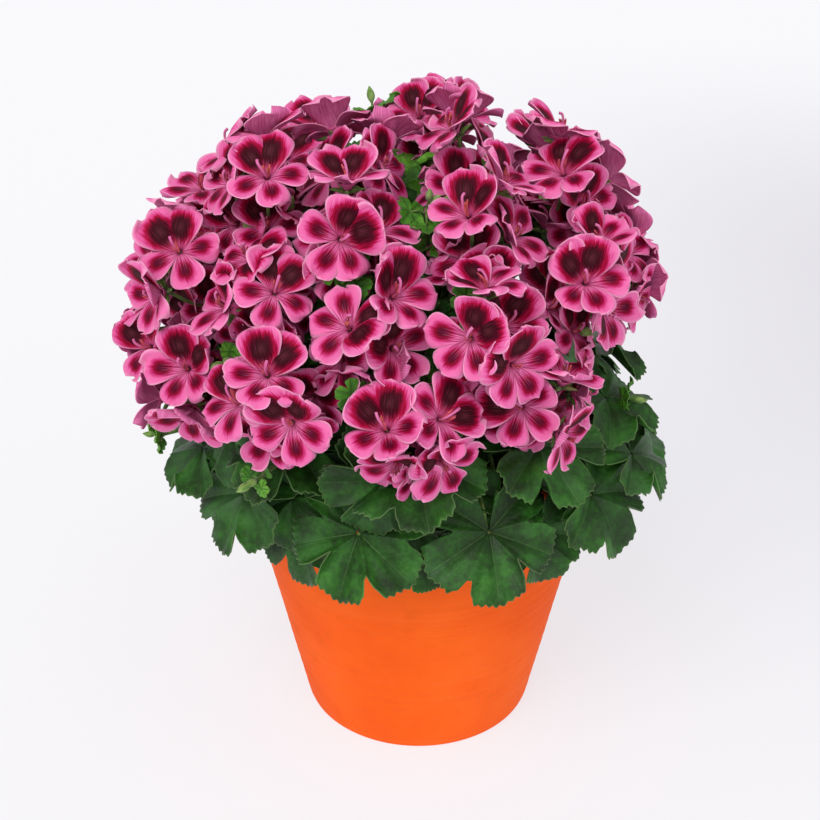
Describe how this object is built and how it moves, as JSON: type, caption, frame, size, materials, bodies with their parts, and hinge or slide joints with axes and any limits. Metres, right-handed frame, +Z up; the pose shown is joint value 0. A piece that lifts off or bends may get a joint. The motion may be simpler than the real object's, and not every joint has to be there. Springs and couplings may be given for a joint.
{
  "type": "potted geranium",
  "caption": "Flowering geranium with dark-eyed ruffled pink florets over round toothed leaves, growing in a plain tapered clay pot.",
  "frame": {"origin": "centre of the pot's flat underside, on the pot's axis", "axes": "+Z up along the pot's axis; -Y is the side that faces the viewer in the reference view; +X to that viewer's right"},
  "size_m": [0.2806, 0.2883, 0.3536],
  "materials": {
    "terracotta": "matte",
    "soil": "matte",
    "stem": "satin",
    "petal": "satin",
    "leaf": "satin"
  },
  "bodies": {
    "root": {"pot": "terracotta", "soil": "soil", "stem_1": "stem", "stem_2": "stem", "stem_3": "stem", "stem_4": "stem", "stem_5": "stem", "flower_head_01": "petal", "flower_head_02": "petal", "flower_head_03": "petal", "flower_head_04": "petal", "flower_head_05": "petal", "flower_head_06": "petal", "flower_head_07": "petal", "flower_head_08": "petal", "flower_head_09": "petal", "flower_head_10": "petal", "flower_head_11": "petal", "flower_head_12": "petal", "flower_head_13": "petal", "flower_head_14": "petal", "flower_head_15": "petal", "flower_head_16": "petal", "flower_head_17": "petal", "flower_head_18": "petal", "flower_head_19": "petal", "flower_head_20": "petal", "flower_head_21": "petal", "flower_head_22": "petal", "flower_head_23": "petal", "flower_head_24": "petal", "flower_head_25": "petal", "flower_head_26": "petal", "flower_head_27": "petal", "flower_head_28": "petal", "leaf_01": "leaf", "leaf_02": "leaf", "leaf_03": "leaf", "leaf_04": "leaf", "leaf_05": "leaf", "leaf_06": "leaf", "leaf_07": "leaf", "leaf_08": "leaf", "leaf_09": "leaf", "leaf_10": "leaf", "leaf_11": "leaf", "leaf_12": "leaf", "leaf_13": "leaf", "leaf_14": "leaf", "leaf_15": "leaf", "leaf_16": "leaf", "leaf_17": "leaf", "leaf_18": "leaf", "leaf_19": "leaf", "leaf_20": "leaf", "leaf_21": "leaf", "leaf_22": "leaf", "leaf_23": "leaf", "leaf_24": "leaf", "leaf_25": "leaf"}
  },
  "joints": []
}
